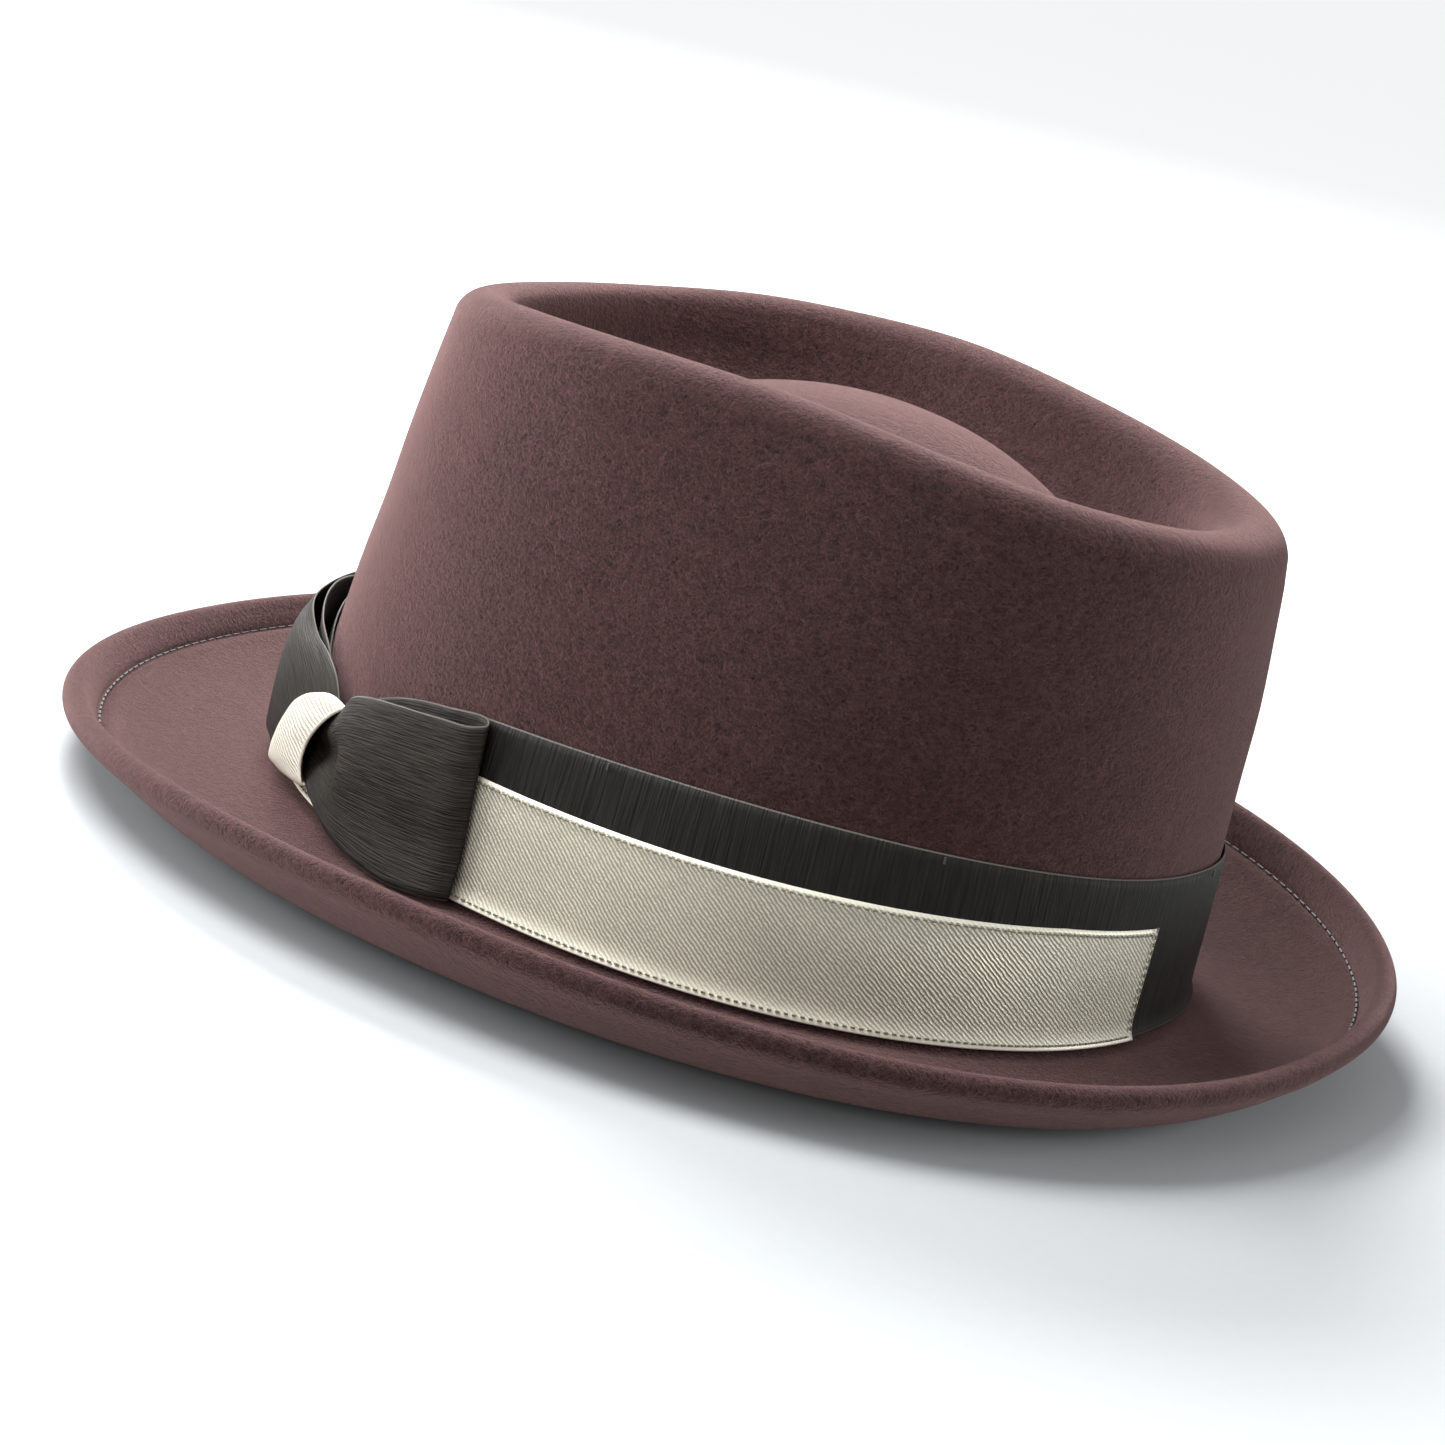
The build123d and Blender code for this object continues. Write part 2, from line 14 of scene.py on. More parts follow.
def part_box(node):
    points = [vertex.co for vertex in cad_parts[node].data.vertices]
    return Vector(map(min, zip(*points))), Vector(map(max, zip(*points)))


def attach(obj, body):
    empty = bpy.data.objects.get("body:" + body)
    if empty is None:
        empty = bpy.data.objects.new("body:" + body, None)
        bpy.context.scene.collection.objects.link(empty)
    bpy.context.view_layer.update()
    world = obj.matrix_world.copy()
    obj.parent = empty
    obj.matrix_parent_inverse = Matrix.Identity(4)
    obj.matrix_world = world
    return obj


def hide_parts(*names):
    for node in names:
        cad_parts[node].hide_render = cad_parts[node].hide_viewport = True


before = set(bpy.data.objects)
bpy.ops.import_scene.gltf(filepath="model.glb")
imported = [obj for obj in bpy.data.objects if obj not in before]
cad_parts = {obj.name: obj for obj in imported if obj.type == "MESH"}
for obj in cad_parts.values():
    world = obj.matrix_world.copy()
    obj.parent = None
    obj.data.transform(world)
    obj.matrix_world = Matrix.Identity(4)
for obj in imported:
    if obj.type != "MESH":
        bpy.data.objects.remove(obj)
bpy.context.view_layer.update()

MM = 0.001

# Crown and brim, mm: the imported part's sizes, with a softer step at the welt
FELT_THICKNESS = 2.2
FOOT_LENGTH_HALF, FOOT_WIDTH_HALF, FOOT_SQUARENESS = 103.3, 87.0, 2.2
FOOT_SADDLE = 1.6
FILLET_RUN, FILLET_RADIUS, FOOT_FLARE = 6.0, 4.5, 1.75
WALL_BELLY = 1.2
WALL_SHARES = (0.85, 0.65, 0.45, 0.25, 0.1)
RIM_TOP = (113.0, 110.0, 119.2)
RIM_INSET = (22.5, 11.5, 20.9)
RIM_RADIUS = (5.4, 9.3, 8.3)
RIM_INNER_ANGLE = math.radians(20)
TEARDROP = 0.18
DOME_TOP, DOME_POWER, DOME_BACK_SHIFT = 111.0, 2.3, 10.0
CHANNEL_REACH, CHANNEL_DEPTH = 0.8, 22.0
DOME_REACHES = (0.06, 0.2, 0.36, 0.5, 0.62, 0.73)
CHANNEL_WALL = ((0.82, 0.01), (0.9, 0.14), (0.96, 0.38))
BRIM = (154.7, 146.6, 141.7)
BRIM_SQUARENESS = 2.15
BRIM_DIP, BRIM_START_RISE, BRIM_END_INSET, BRIM_END_LEVEL = 0.08, 0.1, 1.8, -0.18
BRIM_SHARES = (0, 0.18, 0.36, 0.54, 0.7, 0.86, 1)
LIP_HEIGHT = (9.1, 12.4, 18.0)
LIP_HEIGHT_LEAN = -4.9
LIP_TILT = (13.5, 42.0, 46.5)
LIP_SHARPNESS = 1.3
LIP_RADIUS, WELT_WIDTH = 2.8, 9.0
GROOVE_DEPTH, GROOVE_OFFSET, GROOVE_LEVEL, UNDERSIDE_REACH = 0.8, 0.6, -0.2, 0.55
# The welt's top face from the groove outwards: mm outwards, and shares of the edge's radius up
WELT_RISE = ((0.5, -0.14), (1.6, 0.16), (3.4, 0.56), (4.8, 0.84))

# Ribbons, mm
BAND_CLEARANCE, BAND_THICKNESS = 0.3, 0.7
BAND_TOP, BAND_TOP_WAVE, BAND_TOP_WAVE_TURN = 39.0, 1.7, math.radians(130)
BAND_BOTTOM_GAP = 2.2
BOW_DIP, BOW_DIP_TURN, BOW_DIP_SPREAD = 15.0, math.radians(46), math.radians(14)
STRIP_GAP, STRIP_THICKNESS, STRIP_WIDTH, STRIP_OVERHANG = 0.06, 0.5, 26.0, 0.3
STRIP_BELOW_BAND_TOP = 11.0
STRIP_TURNS = (38.0, 172.6)
STRIP_BORDER, SELVEDGE = 0.8, 0.3
# Width of the painted highlight along the strip's lower edge
STRIP_SHINE_WIDTH = 5.0
RIBS_PER_METRE = 1250
WAVE_BANDS = math.pi
BAND_WIDTH, BOW_WIDTH, KNOT_WIDTH = 38.5, 38.0, 21.0
BOW_THICKNESS = 0.6
LINING_TIP_HEIGHT = 76.1

# Inside of the hat, mm
LINING_CLEARANCE, LINING_THICKNESS, LINING_LOW, LINING_HIGH = 0.3, 0.4, 9.0, 76.0
LINING_PUCKERS, LINING_PUCKER_DEPTH, LINING_PUFF = 46, 0.7, 1.5
LINING_EASE_LOW, LINING_EASE_HIGH = 12, 5
SWEAT_CLEARANCE, SWEAT_THICKNESS, SWEAT_LOW, SWEAT_HIGH = 0.3, 0.9, 0.4, 42.0
SWEAT_WAVES, SWEAT_WAVE_DEPTH = 23, 0.18
REAR_BOW_HALF_TURN, REAR_BOW_MIDDLE, REAR_BOW_HALF_HEIGHT = 6.5, 9.0, 4.5
REAR_BOW_WAIST, REAR_BOW_OFF, REAR_BOW_PUFF, REAR_BOW_THICKNESS = 0.35, 0.75, 0.5, 0.5
REAR_BOW_CREASES = 3

# How far the felt strays from a perfect form, mm, and the height where that starts
FELT_UNEVENNESS = 0.55
UNEVEN_FROM = 48.0

RINGS_PER_POINT = 4
FELT_TURNS = 320

# Bow control points: rows run from the knot out over the fold and back, columns from the lower
# edge to the upper one. Each is a turn in degrees, a height and a distance off the band, mm.
FRONT_LOOP = (
    ((45.6, 6.8, 2.8), (43.5, 10.5, 2.2), (43.5, 14.5, 0.9), (45.5, 18.5, 1.8), (48.0, 22.6, 1.6)),
    ((50.0, 5.4, 4.3), (49.8, 9.0, 2.9), (49.6, 14.2, 0.9), (50.4, 20.0, 3.6), (51.5, 26.6, 2.9)),
    ((54.5, 3.5, 5.2), (54.7, 9.0, 4.9), (54.4, 15.6, 4.0), (55.0, 23.4, 6.6), (55.4, 30.8, 5.5)),
    ((57.9, 2.2, 6.0), (58.0, 9.2, 6.9), (57.6, 17.0, 7.4), (58.2, 25.2, 7.8), (59.6, 33.3, 6.6)),
    ((64.2, 0.3, 5.6), (64.0, 9.0, 6.7), (64.0, 18.2, 7.2), (64.0, 27.0, 7.3), (64.6, 34.8, 6.5)),
    ((71.8, -0.6, 4.2), (71.5, 9.0, 4.9), (71.3, 18.6, 5.3), (70.9, 28.0, 5.3), (70.8, 36.0, 5.2)),
    ((77.8, 0.3, 2.7), (77.3, 9.6, 2.9), (76.9, 19.2, 3.1), (76.5, 28.6, 3.2), (76.1, 37.2, 3.4)),
    ((78.6, 0.5, 1.7), (78.1, 9.9, 1.8), (77.6, 19.5, 1.9), (77.1, 28.9, 2.0), (76.7, 37.7, 2.1)),
    ((77.9, 0.9, 0.9), (77.4, 10.2, 0.9), (77.0, 19.7, 0.9), (76.6, 29.0, 0.9), (76.2, 38.1, 1.0)),
    ((69.0, 1.2, 0.8), (69.0, 10.0, 0.8), (69.0, 19.0, 0.8), (69.0, 28.2, 0.8), (69.0, 37.4, 1.0)),
    ((58.0, 3.0, 0.8), (58.0, 10.4, 0.8), (58.0, 18.0, 0.8), (58.0, 25.6, 0.8), (58.6, 33.2, 1.0)),
    ((46.0, 8.0, 0.8), (46.0, 11.5, 0.8), (46.0, 15.0, 0.8), (46.5, 18.5, 0.8), (47.5, 22.0, 0.8)),
)
BACK_LOOP = (
    ((37.5, 6.0, 3.2), (38.5, 10.5, 3.8), (40.0, 15.0, 3.8), (43.0, 19.5, 3.0), (48.6, 24.4, 1.3)),
    ((34.4, 5.8, 4.6), (35.4, 12.0, 5.2), (37.0, 18.2, 5.4), (40.4, 24.2, 4.2), (45.8, 29.2, 1.5)),
    ((31.4, 6.8, 5.6), (31.6, 15.0, 6.6), (33.0, 22.8, 7.0), (36.4, 28.4, 5.6), (40.6, 32.4, 1.9)),
    ((27.8, 6.8, 6.4), (27.8, 16.0, 7.4), (28.6, 25.0, 7.8), (31.6, 31.2, 6.8), (35.6, 33.6, 3.0)),
    ((22.0, 5.4, 6.2), (22.0, 15.2, 7.4), (22.4, 25.0, 7.6), (24.0, 32.4, 7.0), (28.6, 36.6, 4.9)),
    ((13.0, 3.8, 5.4), (13.0, 13.0, 6.6), (13.2, 22.2, 6.8), (14.2, 31.0, 6.2), (17.0, 37.8, 5.0)),
    ((4.0, 2.6, 4.2), (4.0, 11.8, 5.0), (4.2, 21.0, 5.2), (4.8, 30.2, 4.8), (6.0, 38.4, 4.2)),
    ((-2.6, 2.2, 2.8), (-2.6, 11.3, 3.0), (-2.6, 20.4, 3.1), (-2.5, 29.5, 3.1), (-2.4, 38.4, 3.0)),
    ((-4.0, 2.2, 1.9), (-4.0, 11.3, 1.9), (-4.0, 20.4, 1.9), (-4.0, 29.5, 1.9), (-4.0, 38.4, 1.9)),
    ((-2.6, 2.4, 0.9), (-2.6, 11.4, 0.9), (-2.6, 20.4, 0.9), (-2.6, 29.4, 0.9), (-2.6, 38.3, 1.0)),
    ((8.0, 3.0, 0.9), (8.0, 11.8, 0.9), (8.0, 20.6, 0.9), (8.0, 29.4, 1.2), (8.0, 38.4, 1.8)),
    ((20.0, 4.6, 0.9), (20.0, 13.4, 0.9), (20.0, 22.2, 0.9), (20.2, 31.0, 1.4), (20.8, 39.6, 2.8)),
    ((31.0, 6.4, 0.9), (31.0, 13.8, 0.9), (31.0, 21.2, 0.9), (31.6, 28.6, 1.4), (33.4, 36.6, 2.6)),
    ((38.0, 7.4, 0.8), (38.0, 12.2, 0.8), (38.6, 17.0, 0.8), (40.0, 22.4, 0.9), (42.4, 29.0, 1.0)),
    ((42.0, 8.0, 0.8), (42.0, 11.5, 0.8), (42.4, 15.0, 0.8), (43.0, 18.5, 0.8), (44.0, 22.0, 0.8)),
)
# Knot rows run over the bow from behind its top to behind its foot, columns from front to back
KNOT = (
    ((37.5, 14.5, 0.9), (41.0, 18.0, 0.9), (44.4, 21.4, 0.9), (47.6, 23.6, 0.9), (50.0, 24.2, 0.9)),
    ((36.4, 16.3, 4.0), (40.6, 21.0, 5.0), (44.8, 24.8, 5.0), (48.8, 26.9, 3.9), (51.9, 26.1, 3.0)),
    ((36.0, 13.2, 5.3), (39.5, 17.0, 6.2), (43.2, 20.2, 6.2), (47.0, 22.3, 5.5), (50.2, 23.2, 4.3)),
    ((35.8, 9.8, 5.8), (38.8, 12.6, 6.6), (42.0, 15.2, 6.6), (45.5, 17.4, 6.3), (48.6, 19.0, 5.2)),
    ((36.0, 7.2, 6.0), (38.6, 9.2, 6.6), (41.4, 11.2, 6.6), (44.7, 13.0, 6.2), (47.4, 14.2, 5.5)),
    ((36.4, 4.8, 5.6), (39.2, 5.8, 5.8), (42.0, 7.0, 5.7), (44.9, 8.3, 5.6), (47.3, 9.5, 5.3)),
    ((37.4, 4.0, 3.4), (40.2, 4.2, 3.8), (43.0, 4.8, 4.0), (45.8, 5.4, 4.2), (48.0, 6.0, 4.2)),
    ((38.6, 5.4, 0.9), (41.0, 5.8, 0.9), (43.0, 6.2, 0.9), (45.0, 6.8, 0.9), (46.8, 7.4, 0.9)),
)


# ---- shape of the felt ---------------------------------------------------------------------

def blend(sizes, turn, sharpness=1.0):
    """Front, back and side sizes, eased round the crown."""
    front, back, side = sizes
    end = (front + back) / 2 + (front - back) / 2 * np.cos(turn)
    weight = np.abs(np.sin(turn)) ** (2 * sharpness)
    return end * (1 - weight) + side * weight


def oval(sizes, power, turn):
    """Distance from the middle to a squared oval."""
    front, back, side = sizes
    length = np.where(np.cos(turn) > 0, front, back)
    total = np.abs(np.cos(turn) / length) ** power + np.abs(np.sin(turn) / side) ** power
    return total ** (-1 / power)


def foot_radius(turn):
    return oval((FOOT_LENGTH_HALF, FOOT_LENGTH_HALF, FOOT_WIDTH_HALF), FOOT_SQUARENESS, turn)


def foot_height(turn):
    return FOOT_SADDLE * np.cos(2 * turn)


def rim_shape(turn):
    """Centre distance, centre height and radius of the crown's rolled rim."""
    radius = blend(RIM_RADIUS, turn)
    egg = 1 + TEARDROP * np.sin(turn) ** 2 * np.cos(turn)
    centre = (foot_radius(turn) - blend(RIM_INSET, turn)) * egg
    return centre, blend(RIM_TOP, turn) - radius, radius


def wall_radius(turn, height):
    centre, shoulder, radius = rim_shape(turn)
    share = height / shoulder
    lean = (centre + radius - foot_radius(turn)) * share
    return foot_radius(turn) + lean + WALL_BELLY * 4 * share * (1 - share)


def lip_frame(turn):
    """Centre of the brim's round edge, with its outward and upward directions."""
    height = blend(LIP_HEIGHT, turn, LIP_SHARPNESS) + LIP_HEIGHT_LEAN * np.sin(turn)
    tilt = np.radians(blend(LIP_TILT, turn, LIP_SHARPNESS))
    centre = np.stack((oval(BRIM, BRIM_SQUARENESS, turn) - LIP_RADIUS, height))
    out = np.stack((np.cos(tilt), np.sin(tilt)))
    up = np.stack((-np.sin(tilt), np.cos(tilt)))
    return centre, out, up


def on_lip(turn, along, above):
    centre, out, up = lip_frame(turn)
    return centre + along * out + above * up


def dent_section(turn):
    centre, height, radius = rim_shape(turn)
    inner = centre - radius * math.cos(RIM_INNER_ANGLE)
    floor = height + radius - CHANNEL_DEPTH
    points = []
    for reach in DOME_REACHES:
        drop = (floor - DOME_TOP) * min(reach / CHANNEL_REACH, 1) ** DOME_POWER
        points.append(np.stack((inner * reach, DOME_TOP + drop)))
    for reach, climb in CHANNEL_WALL:
        points.append(np.stack((inner * reach, floor + CHANNEL_DEPTH * climb)))
    return points


def rim_section(turn):
    centre, height, radius = rim_shape(turn)
    points = []
    for angle in np.radians(range(160, -1, -20)):
        points.append(np.stack((centre + radius * math.cos(angle), height + radius * math.sin(angle))))
    return points


def wall_section(turn):
    shoulder = rim_shape(turn)[1]
    points = []
    for share in WALL_SHARES:
        points.append(np.stack((wall_radius(turn, shoulder * share), shoulder * share)))
    for angle in np.radians((20, 45, 70)):
        reach = FILLET_RADIUS * (1 - math.cos(angle))
        rise = FILLET_RADIUS * (1 - math.sin(angle))
        points.append(np.stack((foot_radius(turn) + reach, foot_height(turn) + rise)))
    return points


def brim_section(turn):
    """Top face of the brim from the fillet to just inside the stitched groove."""
    start = np.stack((foot_radius(turn) + FILLET_RUN, foot_height(turn) + BRIM_START_RISE))
    end = on_lip(turn, LIP_RADIUS - WELT_WIDTH - BRIM_END_INSET, LIP_RADIUS * BRIM_END_LEVEL)
    run = end[0] - start[0]
    leave = run * np.array([[1.0], [-BRIM_DIP]])
    arrive = run * lip_frame(turn)[1]
    points = []
    for part in BRIM_SHARES:
        a = (1 + 2 * part) * (1 - part) ** 2
        b = part * (1 - part) ** 2
        c = part ** 2 * (3 - 2 * part)
        d = part ** 2 * (part - 1)
        points.append(a * start + b * leave + c * end + d * arrive)
    return points


def lip_section(turn):
    inner = LIP_RADIUS - WELT_WIDTH
    points = [on_lip(turn, inner - GROOVE_OFFSET, GROOVE_LEVEL * LIP_RADIUS - GROOVE_DEPTH)]
    for along, above in WELT_RISE:
        points.append(on_lip(turn, inner + along, above * LIP_RADIUS))
    for angle in np.radians(range(90, -91, -30)):
        points.append(on_lip(turn, LIP_RADIUS * math.cos(angle), LIP_RADIUS * math.sin(angle)))
    points.append(on_lip(turn, inner * UNDERSIDE_REACH, -LIP_RADIUS))
    return points


def offset_section(points, distance):
    """The same lines moved square to themselves, towards the inside of the hat."""
    moved = []
    for index, point in enumerate(points):
        run = points[min(index + 1, len(points) - 1)] - points[max(index - 1, 0)]
        if index == 0:
            run = run * np.array([[1.0], [0.0]])
        run = run / np.hypot(run[0], run[1])
        moved.append(point + distance * np.stack((run[1], -run[0])))
    return moved


def smooth(points, steps):
    """A smooth line through points along the first axis, with steps pieces to each gap."""
    gaps = np.linalg.norm(np.diff(points, axis=0), axis=-1, keepdims=True).clip(1e-6)
    slopes = np.diff(points, axis=0) / gaps
    middle = (slopes[1:] * gaps[:-1] + slopes[:-1] * gaps[1:]) / (gaps[1:] + gaps[:-1])
    tangents = np.concatenate((slopes[:1], middle, slopes[-1:]))
    rows = []
    for index in range(len(gaps)):
        for part in np.arange(steps) / steps:
            a = (1 + 2 * part) * (1 - part) ** 2
            b = part * (1 - part) ** 2
            c = part ** 2 * (3 - 2 * part)
            d = part ** 2 * (part - 1)
            row = a * points[index] + c * points[index + 1]
            rows.append(row + gaps[index] * (b * tangents[index] + d * tangents[index + 1]))
    rows.append(points[-1])
    return np.array(rows)


CROWN_MIDDLE_Y = (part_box("sweatband_reed")[0].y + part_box("sweatband_reed")[1].y) / 2
CROWN_FOOT_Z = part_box("lining_tip")[0].z - LINING_TIP_HEIGHT * MM


def in_frame(points):
    """Points in mm round the crown's foot, put in the frame in metres."""
    return points * MM + np.array((0, CROWN_MIDDLE_Y, CROWN_FOOT_Z))


def round_crown(turn, radius, height):
    return np.stack((radius * np.sin(turn), -radius * np.cos(turn), height + 0 * turn), axis=-1)


def felt_rings():
    """Rings from the tip over the crown and brim to the edge, then back along the inside."""
    turns = np.linspace(0, 2 * math.pi, FELT_TURNS, endpoint=False)
    outside = dent_section(turns) + rim_section(turns) + wall_section(turns) + brim_section(turns)
    inside = offset_section(outside, FELT_THICKNESS)[::-1]
    line = np.array(outside + lip_section(turns) + inside)
    slides = np.zeros(len(line))
    for index, reach in enumerate(DOME_REACHES):
        slides[index] = DOME_BACK_SHIFT * (1 - reach) ** 2
        slides[-1 - index] = slides[index]
    rings = round_crown(turns, line[:, 0], line[:, 1])
    rings[:, :, 1] += slides[:, None]
    return smooth(rings, RINGS_PER_POINT)


def unevenness(points):
    """Slow waves of hand-blocked felt, nothing near the band."""
    x, y, z = (points / 1000).transpose(2, 0, 1)
    waves = np.sin(47 * x + 31 * z + 1.3) * np.sin(38 * y - 27 * z + 0.4)
    waves = waves + 0.6 * np.sin(83 * y + 52 * z + 2.1) * np.sin(71 * x - 44 * z)
    rise = np.clip((points[:, :, 2] - UNEVEN_FROM) / 25, 0, 1)
    return FELT_UNEVENNESS * waves * rise * rise * (3 - 2 * rise)


# ---- meshes --------------------------------------------------------------------------------

def make_object(name, points, faces, material, uvs=None):
    mesh = bpy.data.meshes.new(name)
    mesh.from_pydata(in_frame(points).tolist(), [], faces)
    mesh.polygons.foreach_set("use_smooth", [True] * len(faces))
    if uvs is not None:
        layer = mesh.uv_layers.new(name="metres")
        corners = np.zeros(len(mesh.loops), np.int32)
        mesh.loops.foreach_get("vertex_index", corners)
        layer.data.foreach_set("uv", (uvs[corners] * MM).ravel())
    mesh.materials.append(material)
    thing = bpy.data.objects.new(name, mesh)
    bpy.context.scene.collection.objects.link(thing)
    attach(thing, "root")
    return thing


def grid_faces(rows, columns, closed_rows, closed_columns):
    """Quads over a grid of points, wrapped round where it is closed."""
    faces = []
    for row in range(rows - (0 if closed_rows else 1)):
        low, high = row * columns, (row + 1) % rows * columns
        for column in range(columns - (0 if closed_columns else 1)):
            after = (column + 1) % columns
            faces.append((low + column, low + after, high + after, high + column))
    return faces


def build_felt(material):
    rings = felt_rings()
    ahead = np.roll(rings, -1, axis=1) - np.roll(rings, 1, axis=1)
    down = np.gradient(rings, axis=0)
    square = np.cross(down, ahead)
    square /= np.linalg.norm(square, axis=-1, keepdims=True)
    middle = len(rings) // 2
    square[middle:] *= -1
    rings = rings + square * unevenness(rings)[:, :, None]
    count, columns = rings.shape[:2]
    points = rings.reshape(-1, 3)
    faces = grid_faces(count, columns, False, True)
    tips = np.stack((rings[0].mean(axis=0), rings[-1].mean(axis=0)))
    last = (count - 1) * columns
    for column in range(columns):
        after = (column + 1) % columns
        faces.append((len(points), after, column))
        faces.append((len(points) + 1, last + column, last + after))
    felt = make_object("felt_hood", np.concatenate((points, tips)), faces, material)
    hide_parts("felt_body")
    return felt


def square_to(grid, closed):
    """Directions square to a grid of points."""
    if closed:
        along = np.roll(grid, -1, axis=0) - np.roll(grid, 1, axis=0)
    else:
        along = np.gradient(grid, axis=0)
    normal = np.cross(along, np.gradient(grid, axis=1))
    return normal / np.linalg.norm(normal, axis=-1, keepdims=True).clip(1e-9)


def build_cloth(name, grid, thickness, width, material, closed=False):
    """A ribbon of real thickness round a grid of points, with UVs in millimetres of flat ribbon."""
    normal = square_to(grid, closed)
    rows, columns = grid.shape[:2]
    thin = thickness / 2 * np.ones(columns)
    thin[[0, -1]] = thickness / 5
    front = grid + normal * thin[:, None]
    back = grid - normal * thin[:, None]
    section = np.concatenate((front, back[:, ::-1]), axis=1)
    along = np.linalg.norm(np.diff(grid, axis=0), axis=-1).mean(axis=1)
    across = np.linalg.norm(np.diff(grid, axis=1), axis=-1).max(axis=0)
    lengths = np.concatenate(([0], np.cumsum(along)))
    widths = np.concatenate(([0], np.cumsum(across)))
    widths = widths * width / widths[-1]
    widths = np.concatenate((widths, widths[::-1]))
    uvs = np.stack(np.meshgrid(lengths, widths, indexing="ij"), axis=-1).reshape(-1, 2)
    faces = grid_faces(rows, 2 * columns, closed, True)
    if not closed:
        for row in (0, rows - 1):
            start = row * 2 * columns
            for column in range(columns - 1):
                far = start + 2 * columns - 1 - column
                end = (start + column, far, far - 1, start + column + 1)
                faces.append(end if row == 0 else end[::-1])
    return make_object(name, section.reshape(-1, 3), faces, material, uvs)


# ---- ribbons -------------------------------------------------------------------------------

def felt_outside(turn, height):
    above = height - foot_height(turn)
    return wall_radius(turn, height) + FILLET_RADIUS * np.exp(-above / FOOT_FLARE)


def strip_outside(turn, height):
    cover = BAND_CLEARANCE + BAND_THICKNESS + STRIP_GAP + STRIP_THICKNESS
    return felt_outside(turn, height) + cover


def wrapped_grid(turns, low, high, off, rows=30):
    """A grid on the crown between two edges, closer together at the flared lower edge."""
    shares = np.linspace(0, 1, rows) ** 1.5
    columns = []
    for share in shares:
        height = low + (high - low) * share
        columns.append(round_crown(turns, felt_outside(turns, height) + off, height))
    return np.stack(columns, axis=1)


def band_top(turn):
    """The band's upper edge, which is drawn down behind the bow."""
    dip = BOW_DIP * np.exp(-((turn - BOW_DIP_TURN) / BOW_DIP_SPREAD) ** 2)
    return BAND_TOP + BAND_TOP_WAVE * np.cos(2 * (turn - BAND_TOP_WAVE_TURN)) - dip


def build_band(material):
    turns = np.linspace(0, 2 * math.pi, 360, endpoint=False)
    low = foot_height(turns) + BAND_BOTTOM_GAP
    high = band_top(turns)
    off = BAND_CLEARANCE + BAND_THICKNESS / 2
    grid = wrapped_grid(turns, low, high, off)
    band = build_cloth("grosgrain_band", grid, BAND_THICKNESS, BAND_WIDTH, material, closed=True)
    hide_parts("hat_band")


def build_strip(material):
    turns = np.radians(np.linspace(*STRIP_TURNS, 180))
    low = foot_height(turns) + BAND_BOTTOM_GAP - STRIP_OVERHANG
    off = BAND_CLEARANCE + BAND_THICKNESS + STRIP_GAP + STRIP_THICKNESS / 2
    high = np.minimum(low + STRIP_WIDTH, band_top(turns) - STRIP_BELOW_BAND_TOP)
    grid = wrapped_grid(turns, low, high, off)
    strip = build_cloth("silver_strip", grid, STRIP_THICKNESS, STRIP_WIDTH, material)
    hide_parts("trim_strip")


def bow_grid(rows, steps=8):
    """A smooth sheet through control points given as turn, height and distance off the band."""
    turn, height, off = np.array(rows).transpose(2, 0, 1)
    turn = np.radians(turn)
    points = round_crown(turn, strip_outside(turn, height) + off, height)
    along = smooth(points, steps)
    return smooth(along.transpose(1, 0, 2), steps).transpose(1, 0, 2)


def build_bow(loop_material, knot_material):
    grid = bow_grid(FRONT_LOOP)
    front = build_cloth("bow_loop_front", grid, BOW_THICKNESS, BOW_WIDTH, loop_material)
    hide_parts("bow_front_loop")
    grid = bow_grid(BACK_LOOP)
    back = build_cloth("bow_loop_back", grid, BOW_THICKNESS, BOW_WIDTH, loop_material)
    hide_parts("bow_back_loop")
    knot = build_cloth("bow_centre", bow_grid(KNOT), BOW_THICKNESS, KNOT_WIDTH, knot_material)
    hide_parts("bow_knot")


# ---- inside of the hat ---------------------------------------------------------------------

def felt_inside(turn, height):
    return wall_radius(turn, height) - FELT_THICKNESS


def lining_middle(turn, height):
    """The middle of the side lining, gathered in shallow puckers above the sweatband."""
    puckers = 0.5 + 0.3 * np.sin(LINING_PUCKERS * turn) + 0.2 * np.sin(2.6 * LINING_PUCKERS * turn)
    free = np.clip((height - SWEAT_HIGH) / LINING_EASE_LOW, 0, 1)
    free = free * np.clip((LINING_HIGH - height) / LINING_EASE_HIGH, 0, 1)
    flat = felt_inside(turn, height) - LINING_CLEARANCE - LINING_THICKNESS / 2
    return flat - LINING_PUCKER_DEPTH * puckers * free


def sweat_middle(turn, height):
    """The middle of the sweatband, which waves a little towards its free upper edge."""
    free = np.clip((height - SWEAT_HIGH / 2) / SWEAT_HIGH * 2, 0, 1)
    waves = SWEAT_WAVE_DEPTH * (1 + np.sin(SWEAT_WAVES * turn)) * free
    outside = felt_inside(turn, height) - LINING_CLEARANCE - LINING_THICKNESS - SWEAT_CLEARANCE
    return outside - SWEAT_THICKNESS / 2 - waves


def ring_grid(radius_at, low, high, columns, steps=480):
    """A grid right round the inside of the crown, from one height to another."""
    turns = np.linspace(0, 2 * math.pi, steps, endpoint=False)
    heights = [low(turns) + (high - low(turns)) * share for share in np.linspace(0, 1, columns)]
    rings = [round_crown(turns, radius_at(turns, height), height) for height in heights]
    return np.stack(rings, axis=1)


def build_sweatband(material):
    def low(turns):
        return foot_height(turns) + SWEAT_LOW

    grid = ring_grid(sweat_middle, low, SWEAT_HIGH, 24)
    band = build_cloth("leather_sweatband", grid, SWEAT_THICKNESS, SWEAT_HIGH, material, closed=True)
    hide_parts("sweatband")


